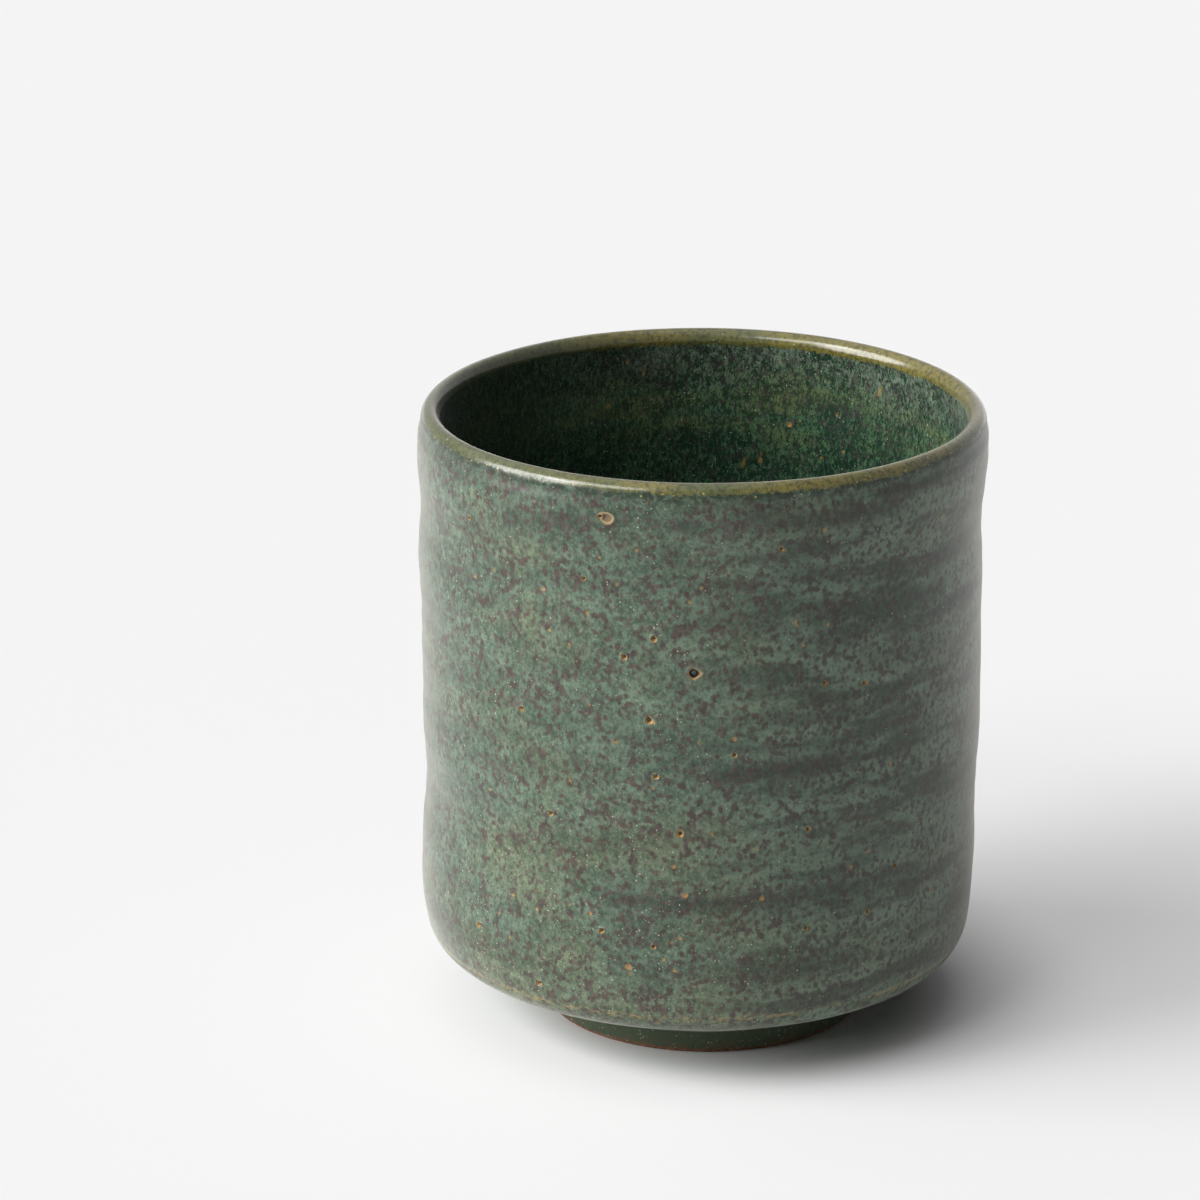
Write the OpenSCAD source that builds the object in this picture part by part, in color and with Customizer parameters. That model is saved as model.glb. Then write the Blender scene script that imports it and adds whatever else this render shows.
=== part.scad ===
// Yunomi: a straight-sided tea cup, thrown in stoneware, turned at the foot and
// glazed all over except for the ring that it stands on.
// Millimetres, +Z up. The origin is the centre of the foot, on the table.

/* [Cup] */
// Height from the table to the top of the lip
cup_h = 90; // [80:1:105]
// Glazed diameter of the wall, midway between the throwing rings
wall_d = 80.2; // [72:0.2:96]
// Glazed thickness of the wall under the lip
wall_top_t = 2.9; // [2.6:0.1:3.6]
// Glazed thickness of the wall above the heel
wall_low_t = 4.2; // [3.2:0.1:6]
// Glazed thickness of the floor, from the foot recess up to the tea
floor_t = 5; // [4:0.5:7]
// Glazed thickness between the turned underside and the tea
heel_t = 5; // [4:0.5:6]
// Radius of the curve between the inner wall and the dished floor
well_r = 12; // [6:0.5:15]
// Radius of the curve that dishes the floor
dish_r = 20; // [5:1:25]

/* [Throwing rings] */
// Swell of the wall at a full throwing ring
ring_depth = 0.4; // [0:0.05:0.8]

/* [Lip] */
// Distance that the outside rolls in to the top of the lip
lip_roll_w = 1.85; // [1.2:0.05:2]
// Height of that outer roll
lip_roll_h = 4; // [2:0.5:7]
// Height of the tighter roll on the inside
lip_inner_h = 1.8; // [1.2:0.1:4]

/* [Heel] */
// Radius of the turned corner between the wall and the underside
heel_r = 5.5; // [3:0.5:7]
// Distance that the wall draws in above the heel
heel_taper = 0.65; // [0.2:0.05:1.2]
// Height of that taper
heel_taper_h = 7; // [5:0.5:10]
// Slope of the turned underside, in degrees from the table
underside_slope = 23.5; // [16:0.5:28]

/* [Foot] */
// Glazed diameter of the foot ring
foot_d = 47.4; // [40:0.2:54]
// Height of the foot ring on its outside
foot_h = 3.5; // [2.8:0.1:6]
// Glazed width of the foot ring, from its outside to its recess
foot_w = 5; // [4:0.1:8]
// Depth of the recess inside the foot ring
recess_h = 2.8; // [2.4:0.1:4]
// Radius of the curve between the side and the ceiling of the recess
recess_r = 1.5; // [0.6:0.1:1.6]
// Radius of the glaze that pools in the crease over the foot
crease_r = 1; // [0.4:0.1:1.4]
// Height of the bare clay above the table
bare_h = 0.8; // [0.6:0.1:1]
// Rounding of the bare edges of the foot ring
foot_edge_r = 0.5; // [0.2:0.05:0.6]

/* [Glaze] */
// Thickness of the outer coat
outer_glaze_t = 0.4; // [0.25:0.05:0.6]
// Thickness of the coat where it runs thin over the lip
lip_glaze_t = 0.2; // [0.15:0.05:0.5]
// Thickness of the inner coat
inner_glaze_t = 0.35; // [0.25:0.05:0.6]
// Thickness of the coat in the foot recess
recess_glaze_t = 0.3; // [0.2:0.05:0.6]

/* [Hidden] */
$fn = 128;

// Each throwing ring: the height of its crest, how far it reaches above and below
// that, both as shares of the cup's height, and its swell as a share of ring_depth.
// A negative swell is a hollow that the fingers left.
ring_shares = [
    [0.27, 0.10, 0.15],
    [0.38, 0.11, -0.80],
    [0.48, 0.09, 0.25],
    [0.60, 0.06, 0.20],
    [0.75, 0.09, 0.55],
    [0.83, 0.09, -0.40],
    [0.93, 0.10, 1.05]
];

// Share of the sloping floor that the dish's curve may take
dish_room_share = 0.9;

// Steps along each stretch of the outline
wall_steps = 36;
inner_wall_steps = 24;
heel_steps = 10;
well_steps = 12;
lip_steps = 8;
small_curve_steps = 5;

wall_r = wall_d / 2;
foot_r = foot_d / 2;
foot_in_r = foot_r - foot_w;

// The heel is an arc that touches the foot of the wall and the turned underside.
heel_slope = atan(2 * heel_taper / heel_taper_h);
heel_centre_r = wall_r - heel_taper - heel_r * cos(heel_slope);
heel_centre_z = underside(heel_centre_r) + heel_r / cos(underside_slope);
heel_z = heel_centre_z - heel_r * sin(heel_slope);

// The crease over the foot is an arc that touches the foot and the underside.
crease_centre_r = foot_r + crease_r;
crease_centre_z = underside(crease_centre_r) - crease_r / cos(underside_slope);

// The well that holds the tea has a flat floor, dished up along the turned underside,
// and a round corner. The dish's curve keeps within the sloping stretch that it ends on.
floor_z = recess_h + floor_t;
well_centre_r = wall_r - wall_low_t - well_r;
well_z = underside(well_centre_r) + (heel_t + well_r) / cos(underside_slope);
dish_start_r = foot_r + (floor_z - foot_h - heel_t / cos(underside_slope)) / tan(underside_slope);
dish_end_r = well_centre_r + well_r * sin(underside_slope);
dish_room = dish_room_share * (dish_end_r - dish_start_r) / cos(underside_slope);
dish_fit_r = min(dish_r, dish_room / tan(underside_slope / 2));
dish_centre_r = dish_start_r - dish_fit_r * tan(underside_slope / 2);

// The lip is an outer and an inner quarter oval that share their top.
lip_z = cup_h - lip_roll_h;
lip_r = wall(lip_z) - lip_roll_w;
lip_inner_z = cup_h - lip_inner_h;
lip_inner_w = lip_r - inner_wall(lip_inner_z);

function blend(a, b, u) = a + (b - a) * u;
function ease(u) = (1 - cos(180 * min(1, max(0, u)))) / 2;
function sum(list, i = 0) = i < len(list) ? list[i] + sum(list, i + 1) : 0;
function tail(points) = [for (i = [1 : len(points) - 1]) points[i]];
function reverse(points) = [for (i = [len(points) - 1 : -1 : 0]) points[i]];
function oval(centre, w, h, a) = centre + [w * cos(a), h * sin(a)];
function arc(centre, r, from, to, steps) =
    [for (i = [0 : steps]) oval(centre, r, r, blend(from, to, i / steps))];

// Height of the turned underside at a radius
function underside(r) = foot_h + tan(underside_slope) * (r - foot_r);

// Swell of all throwing rings at a height, which grows from nothing at height start
function ring_swell(z) = sum([for (ring = ring_shares)
    ring[2] * ease(1 - abs(z / cup_h - ring[0]) / ring[1])]);
function rings(z, start) = ring_depth * ring_swell(z) * ease((z - start) / heel_taper_h);

// Glazed radius of the outer wall and of the inner wall at a height
function wall(z) = wall_r + rings(z, heel_z)
    - heel_taper * pow(max(0, 1 - (z - heel_z) / heel_taper_h), 2);
function wall_t(z) = blend(wall_low_t, wall_top_t, (z - well_z) / (lip_inner_z - well_z));
function inner_wall(z) = wall_r - wall_t(z) + rings(z, well_z);

// Outline from the bare foot up to the lip, sunk by t under the glazed surface
function outside(t) = concat(
    [[foot_r - t, bare_h]],
    arc([crease_centre_r, crease_centre_z], crease_r + t, 180, 90 + underside_slope,
        small_curve_steps),
    arc([heel_centre_r, heel_centre_z], heel_r - t, underside_slope - 90, -heel_slope,
        heel_steps),
    [for (i = [1 : wall_steps])
        let (z = blend(heel_z, lip_z, i / wall_steps))
        [wall(z) - t, z]]);

// Outline over the lip: on the glaze where sunk is 0, on the clay where it is 1
function lip(sunk) = concat(
    [for (i = [0 : lip_steps])
        let (u = i / lip_steps, t = sunk * blend(outer_glaze_t, lip_glaze_t, u))
        oval([lip_r, lip_z], lip_roll_w - t, lip_roll_h - t, 90 * u)],
    [for (i = [1 : lip_steps])
        let (u = i / lip_steps, t = sunk * blend(lip_glaze_t, inner_glaze_t, u))
        oval([lip_r, lip_inner_z], lip_inner_w - t, lip_inner_h - t, 90 + 90 * u)]);

// Outline from the lip down the inner wall to the middle of the floor
function inside(t) = concat(
    [for (i = [0 : inner_wall_steps - 1])
        let (z = blend(lip_inner_z, well_z, i / inner_wall_steps))
        [inner_wall(z) + t, z]],
    arc([well_centre_r, well_z], well_r + t, 0, underside_slope - 90, well_steps),
    arc([dish_centre_r, floor_z + dish_fit_r], dish_fit_r + t, underside_slope - 90, -90,
        small_curve_steps),
    [[0, floor_z - t]]);

// Outline from the bare foot up into the recess and to its middle
function recess(t) = concat(
    [[foot_in_r + t, bare_h]],
    arc([foot_in_r - recess_r, recess_h - recess_r], recess_r + t, 0, 90, small_curve_steps),
    [[0, recess_h + t]]);

// The bare ring that the cup stands on, from its inner to its outer edge
function standing_ring() = concat(
    arc([foot_in_r + recess_glaze_t + foot_edge_r, foot_edge_r], foot_edge_r, 180, 270,
        small_curve_steps),
    arc([foot_r - outer_glaze_t - foot_edge_r, foot_edge_r], foot_edge_r, -90, 0,
        small_curve_steps));

// One revolved coat between its glazed outline and the clay under it
module coat(glazed, clay) {
    rotate_extrude() polygon(concat(glazed, reverse(clay)));
}

// Wall, floor and foot: one piece of clay, thrown and then turned
module clay_body() {
    color([0.42, 0.27, 0.18])
        rotate_extrude()
            polygon(concat(
                standing_ring(),
                outside(outer_glaze_t),
                tail(lip(1)),
                tail(inside(inner_glaze_t)),
                reverse(recess(recess_glaze_t))));
}

// Satin sea-green coat from just above the table up to the lip
module outer_glaze() {
    color([0.36, 0.44, 0.38])
        coat(outside(0), outside(outer_glaze_t));
}

// Olive band where the coat runs thin over the lip
module lip_glaze() {
    color([0.45, 0.43, 0.25])
        coat(lip(0), lip(1));
}

// Glossy deep green coat of the well
module inner_glaze() {
    color([0.10, 0.22, 0.14])
        coat(inside(0), inside(inner_glaze_t));
}

// Coat inside the foot ring, which stops short of the table
module recess_glaze() {
    color([0.27, 0.30, 0.22])
        coat(recess(0), recess(recess_glaze_t));
}

clay_body();
outer_glaze();
lip_glaze();
inner_glaze();
recess_glaze();
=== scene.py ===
import math
import random
from collections import namedtuple

import bmesh
import bpy
from mathutils import Matrix, Vector, kdtree, noise


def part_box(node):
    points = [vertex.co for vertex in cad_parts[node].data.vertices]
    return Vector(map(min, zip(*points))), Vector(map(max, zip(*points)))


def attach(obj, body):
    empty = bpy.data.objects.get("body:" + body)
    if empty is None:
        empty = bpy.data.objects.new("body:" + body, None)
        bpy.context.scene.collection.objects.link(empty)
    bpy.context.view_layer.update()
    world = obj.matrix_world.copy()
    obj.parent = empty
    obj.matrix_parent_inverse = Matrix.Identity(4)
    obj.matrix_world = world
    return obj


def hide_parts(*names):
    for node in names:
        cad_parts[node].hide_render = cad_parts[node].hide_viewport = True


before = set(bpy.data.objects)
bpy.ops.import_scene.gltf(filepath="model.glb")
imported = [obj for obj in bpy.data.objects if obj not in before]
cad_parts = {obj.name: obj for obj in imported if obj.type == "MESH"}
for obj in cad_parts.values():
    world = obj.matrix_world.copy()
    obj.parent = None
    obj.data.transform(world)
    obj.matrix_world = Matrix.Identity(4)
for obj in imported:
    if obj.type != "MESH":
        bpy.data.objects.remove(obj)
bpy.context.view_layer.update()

# Sizes of the cup in millimetres, as its solids have them
MM = 0.001
CUP_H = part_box("lip_glaze")[1].z / MM
LIP_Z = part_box("outer_glaze")[1].z / MM
LIP_INNER_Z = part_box("inner_glaze")[1].z / MM
BARE_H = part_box("recess_glaze")[0].z / MM
WALL_R = 40.1
WALL_TOP_T = 2.9
WALL_LOW_T = 4.2
FLOOR_Z = 7.8
HEEL_T = 5.0
WELL_R = 12.0
DISH_R = 20.0
LIP_ROLL_W = 1.85
LIP_CURL_W = 1.5
LIP_CURL_H = 1.8
HEEL_R = 5.5
HEEL_TAPER = 0.65
HEEL_TAPER_H = 7.0
HEEL_LINE_Z = 11.95
UNDERSIDE_SLOPE = math.radians(23.5)
FOOT_R = 23.7
FOOT_H = 3.5
FOOT_W = 5.0
RECESS_H = 2.8
RECESS_R = 1.5
CREASE_R = 1.0
FOOT_EDGE_R = 0.5
OUTER_T = 0.4
LIP_T = 0.2
INNER_T = 0.35
RECESS_T = 0.3

# Throwing rings: height of the crest, reach above and below it, and swell of the wall
RINGS = (
    (24.3, 9.0, 0.06),
    (34.2, 9.9, -0.32),
    (43.2, 8.1, 0.10),
    (54.0, 5.4, 0.08),
    (67.5, 8.1, 0.22),
    (74.7, 8.1, -0.16),
    (83.7, 9.0, 0.42),
)

# What the potter's hand left: sideways lean and forward lean of the axis by height
LEAN_X = (
    (0.0, 0.9), (4.0, 0.9), (12.0, -0.17), (18.0, -0.32), (26.0, -0.12), (37.0, 0.2),
    (48.0, 0.13), (60.0, 0.0), (71.0, -0.25), (78.0, -0.08), (90.0, 0.1),
)
LEAN_Y = ((0.0, -0.3), (12.0, 0.1), (30.0, 0.2), (50.0, -0.12), (72.0, 0.18), (90.0, 0.0))

# And its swells, ridges and dents, with their sizes along the wall
LIP_WAVE = 0.12
LIP_WAVE_REACH = 20
LIP_SWELL = 0.35
LIP_SWELL_REACH = 12.0
OVAL = 0.12
OVAL_TURN = math.radians(35)
RIDGE = 0.035
RIDGE_PITCH = 4.3
RIDGE_EVEN = 0.5
RIDGE_FADE_SIZE = 23
RIDGE_FADE_SHIFT = Vector((5, 0, 0))
DENT = 0.07
DENT_SIZE = 11.0
RIPPLE = 0.018
RIPPLE_SIZE = 3.2

# Steps of the meshes
SEGMENTS = 360
HIDDEN_STEP = 3.0
WALL_STEP = 0.8
INNER_STEP = 1.1
CURVE_STEP = 0.4
FOOT_EDGE_STEP = FOOT_EDGE_R / 4
LEAST_STEPS = 3
MERGE = 1e-6
SHARP_ANGLE = math.radians(40)

# Camera, fitted to the photograph's 1200 by 1200 frame
IMAGE_SIZE = 1200
CAMERA_PLACE = Vector((0.0, -680.2, 292.0))
CAMERA_HEADING = math.radians(1.226)
CAMERA_TILT = math.radians(71.193)
CAMERA_ROLL = math.radians(0.11)
LENS = 150.0
SENSOR = 36.0
WALL_TRIES = 4

# Marks that the photograph shows on the glaze, read off its pixels: x, y and width
PIXEL = 1 / 6.45
PINHOLES = (
    (694, 674, 14), (649, 720, 9), (655, 639, 7), (655, 776, 6), (734, 755, 6), (625, 657, 7),
    (522, 708, 6), (585, 579, 5), (471, 518, 5), (482, 925, 7), (541, 983, 7), (679, 834, 8),
    (603, 931, 6), (655, 947, 5), (550, 813, 6), (782, 550, 5), (825, 683, 6), (865, 683, 6),
    (895, 866, 5), (930, 890, 5), (869, 912, 6), (807, 929, 5), (807, 829, 6), (600, 517, 5),
)
FLECKS = (
    (734, 739, 7), (570, 644, 4), (551, 630, 5), (615, 742, 4), (698, 743, 4), (569, 780, 4),
    (652, 788, 4), (477, 577, 5), (637, 551, 5), (600, 558, 5), (545, 589, 6), (589, 613, 5),
    (691, 603, 5), (672, 867, 6), (514, 895, 5), (685, 896, 8), (571, 905, 4), (538, 909, 5),
    (501, 913, 5), (591, 914, 6), (681, 939, 6), (631, 967, 9), (676, 971, 5), (665, 960, 5),
    (762, 899, 7), (951, 907, 5), (850, 867, 4), (825, 531, 6), (944, 517, 6), (798, 622, 5),
    (830, 625, 5), (805, 646, 4), (949, 704, 6), (890, 764, 5), (931, 822, 5), (910, 836, 4),
    (436, 671, 5), (489, 789, 5), (711, 834, 4), (756, 850, 4), (868, 853, 4), (954, 868, 5),
)
BLISTER = (606, 518, 15)
INNER_FLECKS = (
    (626, 362, 5), (643, 373, 5), (609, 405, 5), (790, 425, 8), (880, 391, 5), (837, 416, 4),
    (856, 431, 4), (762, 459, 5), (745, 463, 4), (797, 350, 4),
)

# Dark iron streaks in the same pixels, partly iron and partly painted shade of the throwing ridges:
# start, end, half height, and strength
STREAKS = (
    (735, 524, 905, 505, 7, 0.9), (500, 522, 640, 517, 11, 0.6), (640, 524, 720, 528, 6, 0.6),
    (686, 588, 765, 586, 5, 0.8), (785, 577, 865, 571, 6, 0.7), (800, 618, 905, 600, 9, 0.8),
    (735, 628, 790, 622, 6, 0.7), (675, 630, 720, 622, 7, 0.5), (755, 722, 890, 702, 5, 0.7),
    (700, 776, 855, 757, 7, 1.1), (548, 770, 590, 762, 8, 0.5), (600, 897, 770, 903, 6, 1.0),
    (690, 903, 860, 884, 7, 0.8), (715, 924, 790, 916, 5, 0.5), (720, 975, 870, 954, 9, 0.7),
    (560, 842, 650, 848, 8, 0.4), (860, 660, 950, 640, 7, 0.5), (880, 800, 950, 785, 8, 0.4),
)
STREAK_SPREAD = 1.5
STREAK_END = 0.12
STREAK_ROOM = 0.2

# The like on the side that the photograph doesn't show: counts, then ranges to draw from
BACK_SEED = 11
BACK_PINHOLES = 22
BACK_FLECKS = 46
BACK_STREAKS = 26
INNER_BACK_FLECKS = 14
BACK_TURN = (5, 175)
BACK_PINHOLE_Z = (16, 84)
BACK_PINHOLE_WIDTH = (4, 9)
BACK_FLECK_Z = (14, 85)
BACK_FLECK_WIDTH = (3.5, 7)
INNER_BACK_Z = (30, 85)
INNER_BACK_WIDTH = (3.5, 6)
BACK_STREAK_TURN = (10, 170)
BACK_STREAK_HALF_TURN = (0.15, 0.5)
BACK_STREAK_Z = (14, 86)
BACK_STREAK_RISE = (-1.5, 1.5)
BACK_STREAK_HALF_HEIGHT = (0.7, 1.6)
BACK_STREAK_STRENGTH = (0.4, 1.0)

# Marks in the glaze: radius as a share of the width seen, depth, and strength of each colour
Spot = namedtuple("Spot", "place radius depth hole rim pale flat")
Streak = namedtuple("Streak", "turn half_turn z rise half_height strength")
PINHOLE_SHARE = 0.42
PINHOLE_DEPTH = 0.45
PINHOLE_RIM = 0.9
FLECK_SHARE = 0.34
FLECK_DEPTH = 0.06
FLECK_RIM = 0.65
BLISTER_SHARE = 0.5
BLISTER_DEPTH = 0.2
BLISTER_HOLE = 0.45
BLISTER_RIM = 0.5
BLISTER_PALE = 0.9
BLISTER_FLAT = 1.3

# How far from a mark the skin is cut finer, in its radii, and what counts as skin
SPOT_REACHES = (2.2, 1.7, 1.3)
SPOT_MARGIN = 0.35
SPOT_ROOM_Z = 2
SKIN_ROOM = 0.12

# Form of a mark, in its radii from the middle: where each ring starts and how wide it fades
RAGGED = 0.4
RAGGED_PITCH = 0.8
CUP_START = 0.15
CUP_FADE = 0.8
BANK_START = 1.15
BANK_WIDTH = 0.22
BANK_SHARE = 0.22
CORE_START = 0.6
CORE_FADE = 0.25
OPEN_PIT = 0.75
RING_START = 0.8
RING_FADE = 0.3
# The rim's least strength, and its lean to the lower side, which is painted light
RING_LEAST = 0.8
RIM_PAINTED_LIGHT_LEAN = 0.3
PIT_HALO = 0.05
HALO_HOLE = 0.5
HALO_START = 1.25
HALO_WIDTH = 0.3
PALE_START = 0.75
PALE_FADE = 0.3
PALE_CORE = 0.7
PALE_BREAK = 0.7
PALE_BREAK_START = 0.8
PALE_BREAK_PITCH = 1.7
BLISTER_TAN = (0.46, 0.39, 0.25, 1)
RIM_OCHRE = (0.42, 0.225, 0.06, 1)
# Painted shade inside the pits' holes
PIT_SHADE_BLACK = (0.009, 0.004, 0.002, 1)


def blend(a, b, u):
    return a + (b - a) * u


def clamp(u):
    return min(1.0, max(0.0, u))


def ease(u):
    return (1 - math.cos(math.pi * clamp(u))) / 2


def along(points, x):
    """Value at x on an eased curve through a few (x, value) points."""
    for (x0, v0), (x1, v1) in zip(points, points[1:]):
        if x <= x1:
            return blend(v0, v1, ease((x - x0) / (x1 - x0)))
    return points[-1][1]


heel_slope = math.atan(2 * HEEL_TAPER / HEEL_TAPER_H)
slope_tan = math.tan(UNDERSIDE_SLOPE)
slope_cos = math.cos(UNDERSIDE_SLOPE)


def underside(r):
    """Height of the turned underside at a radius."""
    return FOOT_H + slope_tan * (r - FOOT_R)


heel_centre_r = WALL_R - HEEL_TAPER - HEEL_R * math.cos(heel_slope)
heel_centre_z = underside(heel_centre_r) + HEEL_R / slope_cos
heel_z = heel_centre_z - HEEL_R * math.sin(heel_slope)
crease_centre_r = FOOT_R + CREASE_R
crease_centre_z = underside(crease_centre_r) - CREASE_R / slope_cos
well_centre_r = WALL_R - WALL_LOW_T - WELL_R
well_z = underside(well_centre_r) + (HEEL_T + WELL_R) / slope_cos
dish_start_r = FOOT_R + (FLOOR_Z - FOOT_H - HEEL_T / slope_cos) / slope_tan
dish_centre_r = dish_start_r - DISH_R * math.tan(UNDERSIDE_SLOPE / 2)


def rings(z, start):
    swell = sum(size * ease(1 - abs(z - crest) / reach) for crest, reach, size in RINGS)
    return swell * ease((z - start) / HEEL_TAPER_H)


def wall(z):
    """Glazed radius of the outer wall at a height."""
    return WALL_R + rings(z, heel_z) - HEEL_TAPER * max(0, 1 - (z - heel_z) / HEEL_TAPER_H) ** 2


def inner_wall(z):
    """Glazed radius of the inner wall at a height."""
    thick = blend(WALL_LOW_T, WALL_TOP_T, (z - well_z) / (LIP_INNER_Z - well_z))
    return WALL_R - thick + rings(z, well_z)


lip_r = wall(LIP_Z) - LIP_ROLL_W
lip_inner_h = CUP_H - LIP_INNER_Z
lip_inner_w = lip_r - inner_wall(LIP_INNER_Z)


def steps(length, step):
    return max(LEAST_STEPS, math.ceil(abs(length) / step))


def arc(centre_r, centre_z, radius, start, end, step):
    """Points on an arc between two angles in degrees."""
    count = steps(radius * math.radians(end - start), step)
    angles = [math.radians(blend(start, end, i / count)) for i in range(count + 1)]
    return [(centre_r + radius * math.cos(a), centre_z + radius * math.sin(a)) for a in angles]


def upright(radius_at, low, high, step):
    """Points up or down a wall whose radius depends on the height, without the first."""
    count = steps(high - low, step)
    heights = [blend(low, high, i / count) for i in range(1, count + 1)]
    return [(radius_at(z), z) for z in heights]


def outside(t, wall_step, curve_step):
    """Outline from the bare foot up to the lip, sunk by t under the glazed surface."""
    slope = math.degrees(UNDERSIDE_SLOPE)
    wall_start = -math.degrees(heel_slope)
    crease = arc(crease_centre_r, crease_centre_z, CREASE_R + t, 180, 90 + slope, curve_step)
    heel = arc(heel_centre_r, heel_centre_z, HEEL_R - t, slope - 90, wall_start, curve_step)
    (r0, z0), (r1, z1) = crease[-1], heel[0]
    count = steps(r1 - r0, wall_step)
    sloping = [(blend(r0, r1, i / count), blend(z0, z1, i / count)) for i in range(1, count)]
    return ([(FOOT_R - t, BARE_H)] + crease + sloping + heel
            + upright(lambda z: wall(z) - t, heel_z, LIP_Z, wall_step))


def lip(sunk, curve_step):
    """Outline over the lip: on the glaze where sunk is 0, on the clay where it is 1."""
    curl_z = CUP_H - LIP_CURL_H
    lean_count = steps(curl_z - LIP_Z, curve_step)
    curl_count = steps(LIP_CURL_H, curve_step / 2)
    inner_count = steps(lip_inner_h, curve_step / 2)
    points = []
    for i in range(lean_count):
        u = i / lean_count
        lean = (LIP_ROLL_W - LIP_CURL_W) * (1 - ease(u))
        points.append((lip_r + LIP_CURL_W + lean - sunk * OUTER_T, blend(LIP_Z, curl_z, u)))
    for i in range(curl_count + 1):
        u = i / curl_count
        t = sunk * blend(OUTER_T, LIP_T, u)
        a = math.pi / 2 * u
        points.append((lip_r + (LIP_CURL_W - t) * math.cos(a),
                       curl_z + (LIP_CURL_H - t) * math.sin(a)))
    for i in range(1, inner_count + 1):
        u = i / inner_count
        t = sunk * blend(LIP_T, INNER_T, u)
        a = math.pi / 2 * (1 + u)
        points.append((lip_r + (lip_inner_w - t) * math.cos(a),
                       LIP_INNER_Z + (lip_inner_h - t) * math.sin(a)))
    return points


def inside(t, wall_step, curve_step):
    """Outline from the lip down the inner wall to the middle of the floor."""
    slope = math.degrees(UNDERSIDE_SLOPE)
    top = [(inner_wall(LIP_INNER_Z) + t, LIP_INNER_Z)]
    down = upright(lambda z: inner_wall(z) + t, LIP_INNER_Z, well_z, wall_step)
    well = arc(well_centre_r, well_z, WELL_R + t, 0, slope - 90, curve_step)
    dish = arc(dish_centre_r, FLOOR_Z + DISH_R, DISH_R + t, slope - 90, -90, curve_step)
    count = steps(dish_centre_r, wall_step)
    flat = [(dish_centre_r * (1 - i / count), FLOOR_Z - t) for i in range(1, count + 1)]
    return top + down[:-1] + well + dish + flat


def recess(t, wall_step, curve_step):
    """Outline from the bare foot up into the recess and to its middle."""
    side_r = FOOT_R - FOOT_W
    corner = arc(side_r - RECESS_R, RECESS_H - RECESS_R, RECESS_R + t, 0, 90, curve_step)
    count = steps(side_r - RECESS_R, wall_step)
    ceiling = [((side_r - RECESS_R) * (1 - i / count), RECESS_H + t) for i in range(1, count + 1)]
    return [(side_r + t, BARE_H)] + corner + ceiling


def standing_ring():
    """Outline of the bare ring that the cup stands on, from its inner to its outer edge."""
    inner = FOOT_R - FOOT_W + RECESS_T + FOOT_EDGE_R
    outer = FOOT_R - OUTER_T - FOOT_EDGE_R
    return (arc(inner, FOOT_EDGE_R, FOOT_EDGE_R, 180, 270, FOOT_EDGE_STEP)
            + arc(outer, FOOT_EDGE_R, FOOT_EDGE_R, -90, 0, FOOT_EDGE_STEP))


def thrown(place):
    """Where a point of the true turned form ends up on the hand-made cup, in millimetres."""
    r = math.hypot(place.x, place.y)
    if r < MERGE:
        return place + Vector((along(LEAN_X, place.z), along(LEAN_Y, place.z), 0))
    turn = math.atan2(place.y, place.x)
    spot = Vector((math.cos(turn) * WALL_R, math.sin(turn) * WALL_R, place.z))
    high = ease((place.z - heel_z) / HEEL_TAPER_H)
    ridge = RIDGE * math.sin(2 * math.pi * place.z / RIDGE_PITCH + turn)
    ridge *= RIDGE_EVEN + noise.noise(spot / RIDGE_FADE_SIZE + RIDGE_FADE_SHIFT)
    swell = OVAL * math.cos(2 * (turn - OVAL_TURN)) + high * ridge
    swell += DENT * noise.noise(spot / DENT_SIZE) + RIPPLE * noise.noise(spot / RIPPLE_SIZE)
    inner = clamp((lip_r - r) / lip_inner_w) * ease((place.z - CUP_H) / LIP_SWELL_REACH + 1)
    grow = 1 + swell / WALL_R - LIP_SWELL * inner * max(0, math.sin(turn)) / r
    near_lip = ease((place.z - LIP_Z + LIP_WAVE_REACH) / LIP_WAVE_REACH)
    return Vector((
        place.x * grow + along(LEAN_X, place.z),
        place.y * grow + along(LEAN_Y, place.z),
        place.z - LIP_WAVE * math.cos(2 * turn) * near_lip,
    ))


def lathe(outline, segments):
    """A closed shell turned from an outline of (radius, height) points in millimetres."""
    bm = bmesh.new()
    line = [bm.verts.new((r, 0, z)) for r, z in outline]
    edges = [bm.edges.new(pair) for pair in zip(line, line[1:])]
    if outline[0][0] > MERGE:
        edges.append(bm.edges.new((line[-1], line[0])))
    bmesh.ops.spin(bm, geom=line + edges, cent=(0, 0, 0), axis=(0, 0, 1), angle=2 * math.pi,
                   steps=segments, use_merge=True)
    bmesh.ops.remove_doubles(bm, verts=bm.verts, dist=MERGE)
    bmesh.ops.recalc_face_normals(bm, faces=bm.faces)
    return bm


def make_piece(name, bm, materials, node):
    """Moves a turned shell to its hand-made form and sets it in place of its solid."""
    for vert in bm.verts:
        vert.co = thrown(vert.co) * MM
    mesh = bpy.data.meshes.new(name)
    bm.to_mesh(mesh)
    bm.free()
    mesh.shade_smooth()
    mesh.set_sharp_from_angle(angle=SHARP_ANGLE)
    for material in materials:
        mesh.materials.append(material)
    piece = bpy.data.objects.new(name, mesh)
    bpy.context.scene.collection.objects.link(piece)
    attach(piece, "root")
    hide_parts(node)


def camera_turn():
    return (Matrix.Rotation(CAMERA_HEADING, 3, "Z") @ Matrix.Rotation(CAMERA_TILT, 3, "X")
            @ Matrix.Rotation(CAMERA_ROLL, 3, "Z"))


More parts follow.
